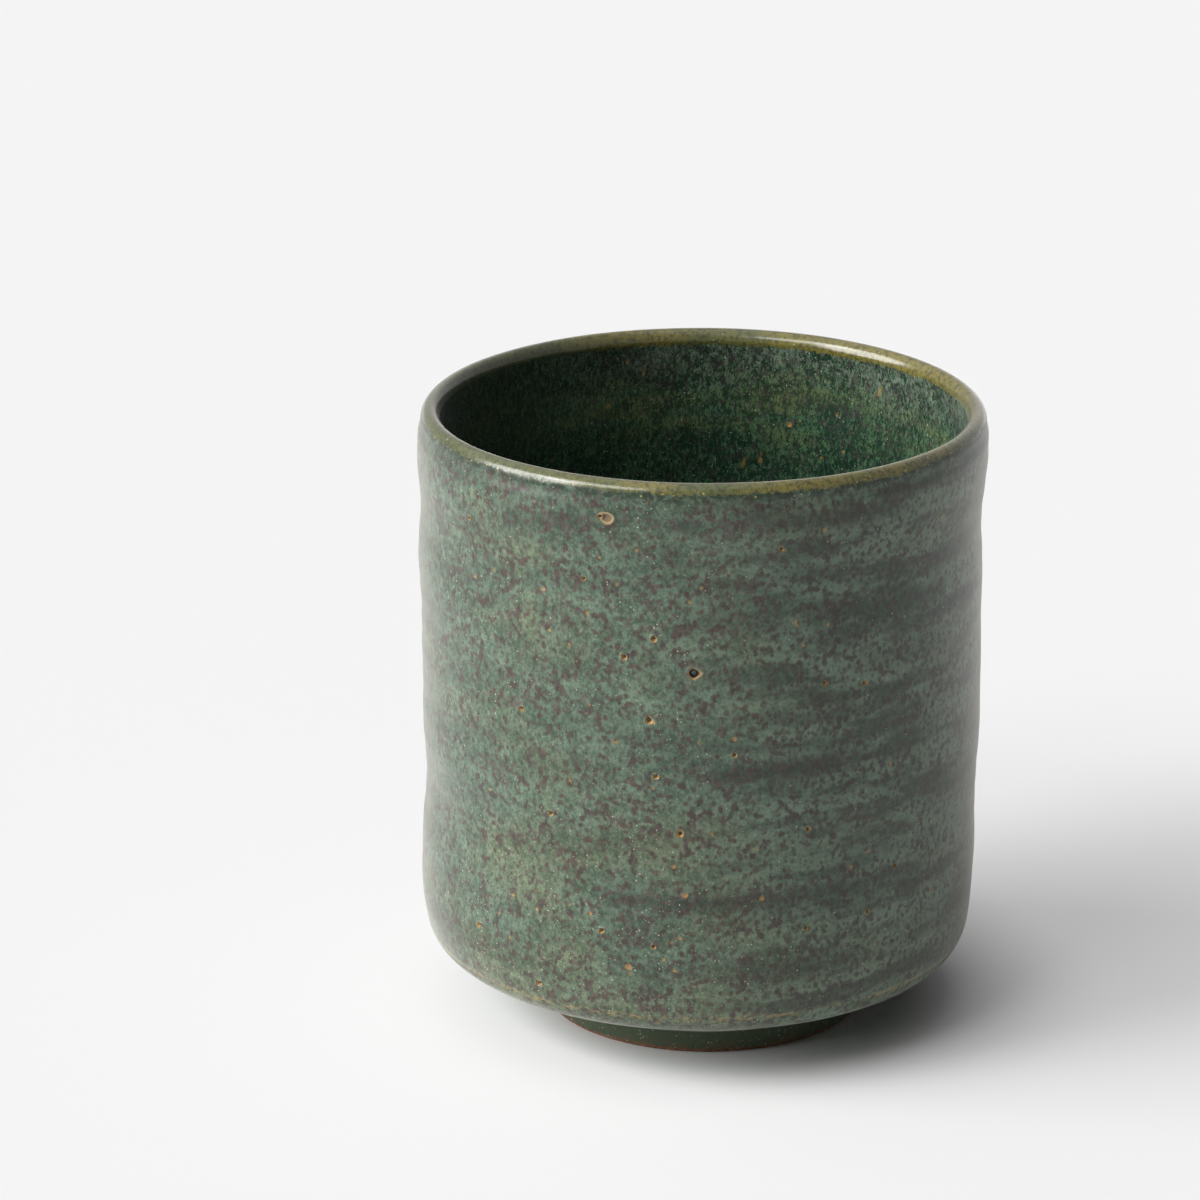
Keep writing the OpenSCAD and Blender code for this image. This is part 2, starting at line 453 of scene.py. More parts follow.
def on_wall(px, py, radius_at, far=False):
    """The point of the wall that a pixel of the photograph shows, in millimetres."""
    scale = SENSOR / IMAGE_SIZE
    right = (px - IMAGE_SIZE / 2) * scale
    up = (IMAGE_SIZE / 2 - py) * scale
    aim = camera_turn() @ Vector((right, up, -LENS))
    start = CAMERA_PLACE
    radius = WALL_R
    for _ in range(WALL_TRIES):
        a = aim.x ** 2 + aim.y ** 2
        b = start.x * aim.x + start.y * aim.y
        c = start.x ** 2 + start.y ** 2 - radius ** 2
        root = math.sqrt(max(0, b * b - a * c))
        point = start + aim * ((-b + root if far else -b - root) / a)
        radius = radius_at(point.z)
    return point


def make_camera():
    data = bpy.data.cameras.new("photo_camera")
    data.lens = LENS
    data.sensor_width = SENSOR
    camera = bpy.data.objects.new("photo_camera", data)
    camera.location = CAMERA_PLACE * MM
    camera.rotation_euler = camera_turn().to_euler()
    bpy.context.scene.collection.objects.link(camera)
    bpy.context.scene.camera = camera


def pinhole(place, width):
    """A burst bubble: a hole painted dark as its shade, with an ochre rim."""
    radius = width * PIXEL * PINHOLE_SHARE
    return Spot(place, radius, PINHOLE_DEPTH, hole=1.0, rim=PINHOLE_RIM, pale=0.0, flat=1.0)


def fleck(place, width):
    """A small ochre fleck, hardly sunk."""
    radius = width * PIXEL * FLECK_SHARE
    return Spot(place, radius, FLECK_DEPTH, hole=0.0, rim=FLECK_RIM, pale=0.0, flat=1.0)


def blister(px, py, width):
    """A wide bubble that healed over, pale with a dark middle."""
    return Spot(on_wall(px, py, wall), width * PIXEL * BLISTER_SHARE, BLISTER_DEPTH, BLISTER_HOLE,
                BLISTER_RIM, BLISTER_PALE, BLISTER_FLAT)


def back_place(chance, heights, radius_at):
    """A chance point of the half that the photograph doesn't show."""
    turn = math.radians(chance.uniform(*BACK_TURN))
    z = chance.uniform(*heights)
    return Vector((radius_at(z) * math.cos(turn), radius_at(z) * math.sin(turn), z))


def outer_spots(chance):
    spots = [pinhole(on_wall(px, py, wall), width) for px, py, width in PINHOLES]
    spots += [fleck(on_wall(px, py, wall), width) for px, py, width in FLECKS]
    spots.append(blister(*BLISTER))
    for _ in range(BACK_PINHOLES):
        place = back_place(chance, BACK_PINHOLE_Z, wall)
        spots.append(pinhole(place, chance.uniform(*BACK_PINHOLE_WIDTH)))
    for _ in range(BACK_FLECKS):
        place = back_place(chance, BACK_FLECK_Z, wall)
        spots.append(fleck(place, chance.uniform(*BACK_FLECK_WIDTH)))
    return spots


def inner_spots(chance):
    spots = [fleck(on_wall(px, py, inner_wall, True), width) for px, py, width in INNER_FLECKS]
    for _ in range(INNER_BACK_FLECKS):
        place = back_place(chance, INNER_BACK_Z, inner_wall)
        near = Vector((place.x, -place.y, place.z))
        spots.append(fleck(near, chance.uniform(*INNER_BACK_WIDTH)))
    return spots


def seen_streak(x0, y0, x1, y1, half, strength):
    """A streak between two pixels of the photograph."""
    start = on_wall(x0, y0, wall)
    end = on_wall(x1, y1, wall)
    first = math.atan2(start.y, start.x)
    last = math.atan2(end.y, end.x)
    rise = (end.z - start.z) / (last - first)
    return Streak((first + last) / 2, abs(last - first) / 2, (start.z + end.z) / 2, rise,
                  half * PIXEL * STREAK_SPREAD, strength)


def iron_streaks(chance):
    streaks = [seen_streak(*streak) for streak in STREAKS]
    for _ in range(BACK_STREAKS):
        turn = math.radians(chance.uniform(*BACK_STREAK_TURN))
        half_turn = chance.uniform(*BACK_STREAK_HALF_TURN)
        z = chance.uniform(*BACK_STREAK_Z)
        rise = chance.uniform(*BACK_STREAK_RISE)
        half_height = chance.uniform(*BACK_STREAK_HALF_HEIGHT)
        strength = chance.uniform(*BACK_STREAK_STRENGTH)
        streaks.append(Streak(turn, half_turn, z, rise, half_height, strength))
    return streaks


def iron_at(streaks, place):
    """How thick the iron lies at a point, from the streak that is strongest there; it also darkens
    the glaze as painted shade of the throwing ridges.
    """
    turn = math.atan2(place.y, place.x)
    thick = 0.0
    for streak in streaks:
        off = turn - streak.turn
        off -= 2 * math.pi * round(off / (2 * math.pi))
        if abs(off) < streak.half_turn + STREAK_ROOM:
            level = place.z - streak.z - streak.rise * off
            end = ease((streak.half_turn + STREAK_END - abs(off)) / (2 * STREAK_END))
            thick = max(thick, streak.strength * end * math.exp(-(level / streak.half_height) ** 2))
    return thick


def spot_finder(spots):
    tree = kdtree.KDTree(len(spots))
    for index, spot in enumerate(spots):
        tree.insert(spot.place, index)
    tree.balance()
    return tree


def spots_near(tree, spots, place, reach):
    """The spots that a point lies within reach of, given in their radii."""
    widest = max(spot.radius for spot in spots) * reach + SPOT_MARGIN
    for _, index, distance in tree.find_range(place, widest):
        if distance < spots[index].radius * reach + SPOT_MARGIN:
            yield spots[index]


def on_skin(vert, radius_at):
    return abs(math.hypot(vert.co.x, vert.co.y) - radius_at(vert.co.z)) < SKIN_ROOM


def cut_finer(bm, skin, tree, spots):
    """Cuts the skin finer round each spot, in steps that close in on it."""
    for reach in SPOT_REACHES:
        close = {vert for vert in bm.verts
                 if skin(vert) and any(spots_near(tree, spots, vert.co, reach))}
        edges = [edge for edge in bm.edges if edge.verts[0] in close and edge.verts[1] in close]
        bmesh.ops.subdivide_edges(bm, edges=edges, cuts=1, use_grid_fill=True)


def spot_distance(spot, place):
    """Distance of a point from the middle of a spot, in its radii, made ragged."""
    off = place - spot.place
    off.z *= spot.flat
    far = off.length / spot.radius
    return far * (1 + RAGGED * noise.noise(place * (RAGGED_PITCH / spot.radius)))


def spot_sink(spot, far):
    """How deep a spot goes there, with the low bank round it."""
    cup = 1 - ease((far - CUP_START) / CUP_FADE)
    bank = math.exp(-((far - BANK_START) / BANK_WIDTH) ** 2)
    return spot.depth * (cup - BANK_SHARE * bank)


def spot_marks(spot, far, place):
    """Strengths of a spot's dark hole, painted as shade, its ochre rim, stronger low down as painted
    light, and pale skin there.
    """
    core = 1 - ease((far - CORE_START * clamp((spot.radius / OPEN_PIT) ** 2)) / CORE_FADE)
    ring = (1 - ease((far - RING_START) / RING_FADE)) * (1 - core * spot.hole)
    # Painted light: the ochre rim is stronger on its lower side, where light falls into the pit
    lit_lower_side = clamp(RING_LEAST + RIM_PAINTED_LIGHT_LEAN * (spot.place.z - place.z) / spot.radius)
    halo = PIT_HALO * math.exp(-((far - HALO_START) / HALO_WIDTH) ** 2) * (spot.hole > HALO_HOLE)
    band = spot.pale * (1 - ease((far - PALE_START) / PALE_FADE)) * (1 - PALE_CORE * core)
    band *= clamp(PALE_BREAK_START + PALE_BREAK * noise.noise(place * PALE_BREAK_PITCH))
    return spot.hole * core, spot.rim * ring * lit_lower_side, max(band, halo)


def press_spots(bm, spots, radius_at, sink):
    """Sinks the pits into the glazed skin and marks their colours on its vertices."""
    tree = spot_finder(spots)
    low = min(spot.place.z for spot in spots) - SPOT_ROOM_Z
    high = max(spot.place.z for spot in spots) + SPOT_ROOM_Z

    def skin(vert):
        return low < vert.co.z < high and on_skin(vert, radius_at)

    cut_finer(bm, skin, tree, spots)
    layers = [bm.verts.layers.float[name] for name in ("hole", "rim", "pale")]
    for vert in bm.verts:
        if not skin(vert):
            continue
        radius = radius_at(vert.co.z)
        for spot in spots_near(tree, spots, vert.co, SPOT_REACHES[0]):
            far = spot_distance(spot, vert.co)
            radius += sink * spot_sink(spot, far)
            for layer, strength in zip(layers, spot_marks(spot, far, vert.co)):
                vert[layer] = max(vert[layer], strength)
        turn = math.atan2(vert.co.y, vert.co.x)
        vert.co.x = radius * math.cos(turn)
        vert.co.y = radius * math.sin(turn)


def add(tree, kind, inputs=None, **settings):
    """A new node with its settings, and with each input linked or set."""
    made = tree.nodes.new(kind)
    for name, value in settings.items():
        setattr(made, name, value)
    for socket, value in (inputs or {}).items():
        if isinstance(value, bpy.types.NodeSocket):
            tree.links.new(value, made.inputs[socket])
        else:
            made.inputs[socket].default_value = value
    return made


def math_of(tree, operation, a, b=0.0):
    return add(tree, "ShaderNodeMath", {0: a, 1: b}, operation=operation).outputs[0]


def minus(tree, value, taken):
    return math_of(tree, "SUBTRACT", value, taken)


def times(tree, a, b):
    return math_of(tree, "MULTIPLY", a, b)


def plus(tree, a, b):
    return math_of(tree, "ADD", a, b)


def greater(tree, a, b):
    return math_of(tree, "MAXIMUM", a, b)


def inverse(tree, share):
    return minus(tree, 1.0, share)


def scaled(tree, value, factor, start):
    """The value times a factor, plus a start."""
    return plus(tree, times(tree, value, factor), start)


def mix_color(tree, factor, a, b):
    return add(tree, "ShaderNodeMix", {0: factor, 6: a, 7: b}, data_type="RGBA").outputs[2]


def tint_color(tree, factor, color, tint):
    """The colour multiplied by a tint as far as the factor says."""
    return add(tree, "ShaderNodeMix", {0: factor, 6: color, 7: tint}, data_type="RGBA",
               blend_type="MULTIPLY").outputs[2]


def fade(tree, value, low, high):
    """0 below low, 1 above high, eased between."""
    made = add(tree, "ShaderNodeMapRange",
               {"Value": value, "From Min": low, "From Max": high}, interpolation_type="SMOOTHSTEP")
    return made.outputs["Result"]


def stretched(tree, place, factors):
    return add(tree, "ShaderNodeVectorMath", {0: place, 1: factors}, operation="MULTIPLY").outputs[0]


def cloud(tree, place, size, detail=2.0, rough=0.5, warp=0.0):
    """Soft noise whose patches are about size millimetres wide."""
    made = add(tree, "ShaderNodeTexNoise",
               {"Vector": place, "Scale": 1 / size, "Detail": detail, "Roughness": rough,
                "Distortion": warp})
    return made.outputs["Fac"]


def object_place(tree):
    """Object coordinates in millimetres."""
    coords = add(tree, "ShaderNodeTexCoord").outputs["Object"]
    return stretched(tree, coords, (1 / MM, 1 / MM, 1 / MM))


def part_of(tree, place, axis):
    return add(tree, "ShaderNodeSeparateXYZ", {0: place}).outputs[axis]


def axis_distance(tree, place):
    """Distance from the cup's axis."""
    flat = stretched(tree, place, (1, 1, 0))
    return add(tree, "ShaderNodeVectorMath", {0: flat}, operation="LENGTH").outputs["Value"]


def attribute(tree, name):
    return add(tree, "ShaderNodeAttribute", attribute_name=name).outputs["Fac"]


def new_group(name, inputs, outputs):
    """An empty node group with named sockets, and its inner ends."""
    tree = bpy.data.node_groups.new(name, "ShaderNodeTree")
    for socket, kind in inputs:
        tree.interface.new_socket(socket, in_out="INPUT", socket_type="NodeSocket" + kind)
    for socket, kind in outputs:
        tree.interface.new_socket(socket, in_out="OUTPUT", socket_type="NodeSocket" + kind)
    return tree, add(tree, "NodeGroupInput").outputs, add(tree, "NodeGroupOutput").inputs


def place_group(tree, group, inputs):
    return add(tree, "ShaderNodeGroup", inputs, node_tree=group).outputs


def dots(tree, place, size, share, core, soft):
    """Soft dots in a share of the cells of a grid of that size, and each cell's own chance."""
    cells = add(tree, "ShaderNodeTexVoronoi", {"Vector": place, "Scale": 1 / size})
    chance = add(tree, "ShaderNodeSeparateColor", {"Color": cells.outputs["Color"]})
    shrunk = minus(tree, cells.outputs["Distance"], times(tree, chance.outputs["Blue"], core))
    dot = inverse(tree, fade(tree, shrunk, core * 0.5, core * 0.5 + soft))
    chosen = math_of(tree, "LESS_THAN", chance.outputs["Red"], share)
    return times(tree, dot, chosen), chance.outputs["Green"]


# A cloud's colour at rest, and the detail of one that shakes places
CLOUD_MIDDLE = (0.5, 0.5, 0.5)
SHAKE_DETAIL = 2.0


def shaken(tree, place, size, reach):
    """The place moved about by a cloud of that size, so that round things get ragged."""
    cloudy = add(tree, "ShaderNodeTexNoise",
                 {"Vector": place, "Scale": 1 / size, "Detail": SHAKE_DETAIL})
    off = add(tree, "ShaderNodeVectorMath", {0: cloudy.outputs["Color"], 1: CLOUD_MIDDLE},
              operation="SUBTRACT")
    moved = {0: off.outputs["Vector"], 1: (2 * reach, 2 * reach, 2 * reach), 2: place}
    return add(tree, "ShaderNodeVectorMath", moved, operation="MULTIPLY_ADD").outputs["Vector"]


# Iron blotches: sizes in millimetres, then how they clump and how soft they end
BLOTCH_SIZE = 1.1
BLOTCH_DETAIL = 1.5
BLOTCH_ROUGHNESS = 0.5
BLOTCH_FLATTEN = 0.88
BLOTCH_SHAKE = 0.2
BLOTCH_SHAKE_SIZE = 0.45
BLOTCH_CELL = 0.8
BLOTCH_MERGE = 0.25
BLOTCH_ROUND = 0.6
BLOTCH_GROWTH = 0.15
BLOTCH_EDGE = 0.208
BLOTCH_SOFT = 0.25
BLOTCH_FAINT = 0.5
FAINT_CLOUD = (1.8, 2)
FAINT_RANGE = (0.3, 0.6)


def blotches(tree, place, dense):
    """Ragged iron blotches that run together where dense is high."""
    tall = stretched(tree, place, (1, 1, BLOTCH_FLATTEN))
    tall = shaken(tree, tall, BLOTCH_SHAKE_SIZE, BLOTCH_SHAKE)
    cells = add(tree, "ShaderNodeTexVoronoi",
                {"Vector": tall, "Scale": 1 / BLOTCH_CELL, "Smoothness": BLOTCH_MERGE},
                feature="SMOOTH_F1")
    clump = cloud(tree, tall, BLOTCH_SIZE, BLOTCH_DETAIL, BLOTCH_ROUGHNESS)
    level = plus(tree, clump, times(tree, cells.outputs["Distance"], -BLOTCH_ROUND))
    level = plus(tree, level, times(tree, dense, BLOTCH_GROWTH))
    patch = fade(tree, level, BLOTCH_EDGE, BLOTCH_EDGE + BLOTCH_SOFT)
    strength = fade(tree, cloud(tree, place, *FAINT_CLOUD), *FAINT_RANGE)
    return times(tree, patch, scaled(tree, strength, 1 - BLOTCH_FAINT, BLOTCH_FAINT))


# Light and dark in the glaze: share of each cloud, and its size, detail, roughness and warp
MOTTLE_PATCH = 0.26
MOTTLE_GRAIN = 0.3
MOTTLE_THREAD = 0.48
MOTTLE_SLOW = 0.14
PATCH_CLOUD = (2.0, 3, 0.6)
GRAIN_CLOUD = (0.8, 2, 0.5)
THREAD_CLOUD = (0.36, 2.5, 0.65, 0.5)
SLOW_CLOUD = (13, 2)
FINE_STRETCH = (1, 1, 0.8)
SLOW_STRETCH = (1, 1, 1.6)


def mottle(tree, place, low, high):
    """Fine light and dark threads over soft patches, from nought to one."""
    fine = stretched(tree, place, FINE_STRETCH)
    patch = cloud(tree, place, *PATCH_CLOUD)
    grain = cloud(tree, fine, *GRAIN_CLOUD)
    thread = cloud(tree, fine, *THREAD_CLOUD)
    slow = cloud(tree, stretched(tree, place, SLOW_STRETCH), *SLOW_CLOUD)
    both = plus(tree, times(tree, patch, MOTTLE_PATCH), times(tree, thread, MOTTLE_THREAD))
    both = plus(tree, both, times(tree, grain, MOTTLE_GRAIN))
    both = plus(tree, both, times(tree, slow, MOTTLE_SLOW))
    return fade(tree, both, low, high), thread


# Pale specks, partly the glaze's own crystals and partly painted glints, and ochre specks: size of
# the grid, core and soft edge as shares of it, least and added
CREAM_SPECK_AND_GLINT = (0.5, 0.54, 0.4, 1)
SPECK_OCHRE = (0.3, 0.19, 0.06, 1)
SPECK_SIZE = 0.46
SPECK_CORE = 0.11
SPECK_SOFT = 0.12
SPECK_LEAST = 0.25
SPECK_MORE = 0.65
OCHRE_CORE = 0.08
OCHRE_SOFT = 0.1


def specked_and_glinted(tree, place, color, share):
    """The colour with pale specks, partly painted glints, in that share of the places that could have
    one.
    """
    speck, bright = dots(tree, place, SPECK_SIZE, share, SPECK_CORE, SPECK_SOFT)
    strength = times(tree, speck, scaled(tree, bright, SPECK_MORE, SPECK_LEAST))
    return mix_color(tree, strength, color, CREAM_SPECK_AND_GLINT)


def ochre_specked(tree, place, color, size, share, strength):
    """The colour with a few ochre specks."""
    speck, _ = dots(tree, place, size, share, OCHRE_CORE, OCHRE_SOFT)
    return mix_color(tree, times(tree, speck, strength), color, SPECK_OCHRE)


def spot_color_group():
    """A colour with the flecks and pits that a mesh's marks give, the pits' holes painted dark as
    shade.
    """
    tree, given, out = new_group(
        "spot_color",
        (("Color", "Color"), ("Pale", "Float"), ("Rim", "Float"), ("Hole", "Float")),
        (("Color", "Color"),))
    color = mix_color(tree, given["Pale"], given["Color"], BLISTER_TAN)
    color = mix_color(tree, given["Rim"], color, RIM_OCHRE)
    tree.links.new(mix_color(tree, given["Hole"], color, PIT_SHADE_BLACK), out["Color"])
    return tree


def spotted(tree, spot_color, color):
    """The colour with the marks of the mesh that carries the material."""
    marks = {"Color": color, "Pale": attribute(tree, "pale"), "Rim": attribute(tree, "rim"),
             "Hole": attribute(tree, "hole")}
    return place_group(tree, spot_color, marks)["Color"]


# Satin sea green: light and dark, each from teal to yellow
SEA_LIGHT_TEAL = (0.137, 0.195, 0.139, 1)
SEA_LIGHT_YELLOW = (0.175, 0.197, 0.108, 1)
SEA_DARK_TEAL = (0.05, 0.084, 0.056, 1)
SEA_DARK_YELLOW = (0.067, 0.09, 0.046, 1)
MOTTLE_LOW = 0.48
MOTTLE_HIGH = 0.71
LOW_RANGE = (10.0, 42.0)
RIGHT_RANGE = (-6.0, 18.0)
YELLOW_CLOUD = (15, 3)
YELLOW_LOW = 0.14
YELLOW_RANGE = (0.42, 0.76)
YELLOW_SHARE = 0.6

# Its iron: browns, where the blotches crowd, and the level bands that the fingers left, darkened
# partly as iron and partly as painted shade of the throwing ridges; painted light lifts the right
# side between them
IRON_DARK = (0.042, 0.025, 0.023, 1)
IRON_LIGHT = (0.08, 0.053, 0.047, 1)
IRON_GREEN = (0.016, 0.026, 0.019, 1)
IRON_COOL = 0.4
IRON_GROWTH = 0.5
IRON_SHADE = 0.95
IRON_SMEAR = 0.15
SMEAR_CLOUD = (1.3, 3, 0.65)
SMEAR_RANGE = (0.36, 0.56)
BLOTCH_COVER = 0.92
CROWD_STRETCH = (1, 1, 1.3)
CROWD_CLOUD = (5.5, 3, 0.55)
LEVEL_STRETCH = (0.4, 0.4, 1.5)
LEVEL_CLOUD = (5.5, 3, 0.6)
CROWD_RANGE = (0.33, 0.67)
BAND_STRETCH = (0.3, 0.3, 1.3)
BAND_CLOUD = (5.0, 3, 0.6)
BAND_RANGE = (0.36, 0.6)
BAND_SHADE = 0.35
BAND_RIGHT = 0.5
RIGHT_PAINTED_LIGHT = 0.58
IRON_AND_RIDGE_SHADE_TINT = (0.3, 0.34, 0.33, 1)

# Its fine iron dots, and pale specks that are partly painted glints
FINE_IRON_SIZE = 0.8
FINE_IRON_SHARE = 0.6
FINE_IRON_SHAKE = 0.15
FINE_IRON_CORE = 0.16
FINE_IRON_SOFT = 0.3
FINE_IRON_RIGHT = 0.6
FINE_IRON_LEFT = 0.12
CLUSTER_CLOUD = (6, 2)
CLUSTER_LOW = 0.26
CLUSTER_RANGE = (0.44, 0.7)
CLUSTER_SHARE = 0.4
CLUSTER_LEAST = 0.05
CLUSTER_RIGHT = 0.75
SEA_OCHRE_SIZE = 1.9
SEA_OCHRE_SHARE = 0.07
SEA_OCHRE_LEAST = 0.35
SEA_OCHRE_COVER = 0.5
SEA_RELIEF_CLOUD = (1.3, 2)
SEA_RELIEF_THREAD = 0.35


def sea_green_group():
    """Satin sea green with iron blotches, fine threads and pale specks."""
    tree, given, out = new_group(
        "sea_green", (("Place", "Vector"), ("Iron", "Float")),
        (("Color", "Color"), ("Blotch", "Float"), ("Height", "Float")))
    place = given["Place"]
    streak = given["Iron"]
    low = inverse(tree, fade(tree, part_of(tree, place, "Z"), *LOW_RANGE))
    right = fade(tree, part_of(tree, place, "X"), *RIGHT_RANGE)

    slow = cloud(tree, stretched(tree, place, SLOW_STRETCH), *YELLOW_CLOUD)
    slow = plus(tree, slow, times(tree, low, YELLOW_LOW))
    yellow = times(tree, fade(tree, slow, *YELLOW_RANGE), YELLOW_SHARE)
    lightness, thread = mottle(tree, place, MOTTLE_LOW, MOTTLE_HIGH)
    light = mix_color(tree, yellow, SEA_LIGHT_TEAL, SEA_LIGHT_YELLOW)
    dark = mix_color(tree, yellow, SEA_DARK_TEAL, SEA_DARK_YELLOW)
    color = mix_color(tree, lightness, dark, light)

    # Painted shade, partly iron: level bands and iron streaks darken the glaze as the shade of
    # throwing ridges would, more on the right side
    band = cloud(tree, stretched(tree, place, BAND_STRETCH), *BAND_CLOUD)
    band = inverse(tree, fade(tree, band, *BAND_RANGE))
    iron_and_ridge_shade = times(tree, band, scaled(tree, right, BAND_RIGHT, BAND_SHADE))
    iron_and_ridge_shade = greater(tree, iron_and_ridge_shade, times(tree, streak, IRON_SHADE))
    # Painted light: between the bands the right side, which is in shade, is lightened toward light
    # teal
    painted_light = times(tree, times(tree, right, inverse(tree, iron_and_ridge_shade)), RIGHT_PAINTED_LIGHT)
    color = mix_color(tree, painted_light, color, SEA_LIGHT_TEAL)
    color = tint_color(tree, iron_and_ridge_shade, color, IRON_AND_RIDGE_SHADE_TINT)

    crowd = cloud(tree, stretched(tree, place, CROWD_STRETCH), *CROWD_CLOUD)
    level = cloud(tree, stretched(tree, place, LEVEL_STRETCH), *LEVEL_CLOUD)
    wander = fade(tree, plus(tree, times(tree, crowd, 0.5), times(tree, level, 0.5)), *CROWD_RANGE)
    dense = plus(tree, wander, times(tree, streak, IRON_GROWTH))
    smear = times(tree, streak, fade(tree, cloud(tree, place, *SMEAR_CLOUD), *SMEAR_RANGE))
    blotch = greater(tree, blotches(tree, place, dense), times(tree, smear, IRON_SMEAR))
    brown = mix_color(tree, lightness, IRON_DARK, IRON_LIGHT)
    brown = mix_color(tree, times(tree, right, IRON_COOL), brown, IRON_GREEN)
    color = mix_color(tree, times(tree, blotch, BLOTCH_COVER), color, brown)

    ragged = shaken(tree, place, BLOTCH_SHAKE_SIZE, FINE_IRON_SHAKE)
    fine, _ = dots(tree, ragged, FINE_IRON_SIZE, FINE_IRON_SHARE, FINE_IRON_CORE, FINE_IRON_SOFT)
    fine = times(tree, fine, scaled(tree, right, FINE_IRON_RIGHT, FINE_IRON_LEFT))
    color = mix_color(tree, fine, color, brown)
    # Pale specks, partly painted glints: denser low down and fewer on the right side, which is in
    # shade
    cluster = plus(tree, cloud(tree, place, *CLUSTER_CLOUD), times(tree, low, CLUSTER_LOW))
    share = scaled(tree, fade(tree, cluster, *CLUSTER_RANGE), CLUSTER_SHARE, CLUSTER_LEAST)
    share = times(tree, share, inverse(tree, times(tree, right, CLUSTER_RIGHT)))
    color = specked_and_glinted(tree, place, color, share)
    share = times(tree, plus(tree, low, SEA_OCHRE_LEAST), SEA_OCHRE_SHARE)
    color = ochre_specked(tree, place, color, SEA_OCHRE_SIZE, share, SEA_OCHRE_COVER)

    relief = cloud(tree, place, *SEA_RELIEF_CLOUD)
    tree.links.new(color, out["Color"])
    tree.links.new(blotch, out["Blotch"])
    tree.links.new(plus(tree, times(tree, thread, SEA_RELIEF_THREAD), relief), out["Height"])
    return tree


# Deep green inside: colours on the wall, near the lip and pooled on the floor
DEEP_DARK = (0.009, 0.028, 0.016, 1)
DEEP_LIGHT = (0.068, 0.142, 0.074, 1)
DEEP_GREY = (0.16, 0.205, 0.152, 1)
DEEP_OLIVE = (0.13, 0.14, 0.05, 1)
DEEP_IRON = (0.05, 0.034, 0.04, 1)
POOL_DARK = (0.03, 0.085, 0.045, 1)
POOL_LIGHT = (0.11, 0.22, 0.12, 1)
POOL_RANGE = (10.0, 30.0)
DEEP_MOTTLE_LOW = 0.53
DEEP_MOTTLE_HIGH = 0.7
RUN_STRETCH = (1.6, 1.6, 1.1)
WAVER_STRETCH = (0.5, 0.5, 1)
WAVER_CLOUD = (8, 2)
WAVER_REACH = 8.0
NEAR_LIP_RANGE = (CUP_H - 7, CUP_H + 1)
GREY_COVER = 0.8

# Its olive level bands, iron blotches and specks
OLIVE_ZONE_RANGE = (CUP_H - 15, CUP_H - 8)
DEEP_OLIVE_STRETCH = (0.35, 0.35, 1.6)
DEEP_OLIVE_CLOUD = (6, 3, 0.6)
DEEP_OLIVE_RANGE = (0.38, 0.64)
DEEP_OLIVE_MORE = 0.7
DEEP_OLIVE_LEAST = 0.1
DEEP_CROWD_STRETCH = (1, 1, 1.5)
DEEP_CROWD_CLOUD = (6, 3, 0.55)
DEEP_CROWD_RANGE = (0.4, 0.75)
DEEP_CROWD_SHARE = 0.5
DEEP_CROWD_LIP = 0.7
DEEP_BLOTCH_STRETCH = (1.25, 1.25, 1)
DEEP_COVER = 0.6
DEEP_SPECKS = 0.2
DEEP_OCHRE_SIZE = 1.6
DEEP_OCHRE_SHARE = 0.1
DEEP_OCHRE_COVER = 0.6
DEEP_RELIEF_CLOUD = (1.6, 2)
DEEP_RELIEF_THREAD = 0.4


def deep_green_group():
    """Deep green that has run a little: greyed under the lip, olive below, then dark, then pooled."""
    tree, given, out = new_group(
        "deep_green", (("Place", "Vector"),), (("Color", "Color"), ("Height", "Float")))
    place = given["Place"]
    waver = cloud(tree, stretched(tree, place, WAVER_STRETCH), *WAVER_CLOUD)
    height = plus(tree, part_of(tree, place, "Z"), times(tree, waver, WAVER_REACH))
    near_lip = fade(tree, height, *NEAR_LIP_RANGE)
    olive_zone = times(tree, fade(tree, height, *OLIVE_ZONE_RANGE), inverse(tree, near_lip))
    pool = inverse(tree, fade(tree, height, *POOL_RANGE))

    run = stretched(tree, place, RUN_STRETCH)
    lightness, thread = mottle(tree, run, DEEP_MOTTLE_LOW, DEEP_MOTTLE_HIGH)
    dark = mix_color(tree, pool, DEEP_DARK, POOL_DARK)
    light = mix_color(tree, pool, DEEP_LIGHT, POOL_LIGHT)
    color = mix_color(tree, lightness, dark, light)
    grey = times(tree, near_lip, times(tree, lightness, GREY_COVER))
    color = mix_color(tree, grey, color, DEEP_GREY)
    olive = cloud(tree, stretched(tree, place, DEEP_OLIVE_STRETCH), *DEEP_OLIVE_CLOUD)
    olive = times(tree, fade(tree, olive, *DEEP_OLIVE_RANGE), olive_zone)
    olive = times(tree, olive, scaled(tree, lightness, DEEP_OLIVE_MORE, DEEP_OLIVE_LEAST))
    color = mix_color(tree, olive, color, DEEP_OLIVE)

    crowd = cloud(tree, stretched(tree, place, DEEP_CROWD_STRETCH), *DEEP_CROWD_CLOUD)
    crowd = times(tree, fade(tree, crowd, *DEEP_CROWD_RANGE), DEEP_CROWD_SHARE)
    dense = plus(tree, crowd, times(tree, near_lip, DEEP_CROWD_LIP))
    iron = blotches(tree, stretched(tree, place, DEEP_BLOTCH_STRETCH), dense)
    color = mix_color(tree, times(tree, iron, DEEP_COVER), color, DEEP_IRON)
    # Pale specks inside, partly painted glints
    color = specked_and_glinted(tree, place, color, DEEP_SPECKS)
    color = ochre_specked(tree, place, color, DEEP_OCHRE_SIZE, DEEP_OCHRE_SHARE, DEEP_OCHRE_COVER)

    relief = cloud(tree, place, *DEEP_RELIEF_CLOUD)
    tree.links.new(color, out["Color"])
    tree.links.new(plus(tree, relief, times(tree, thread, DEEP_RELIEF_THREAD)), out["Height"])
    return tree


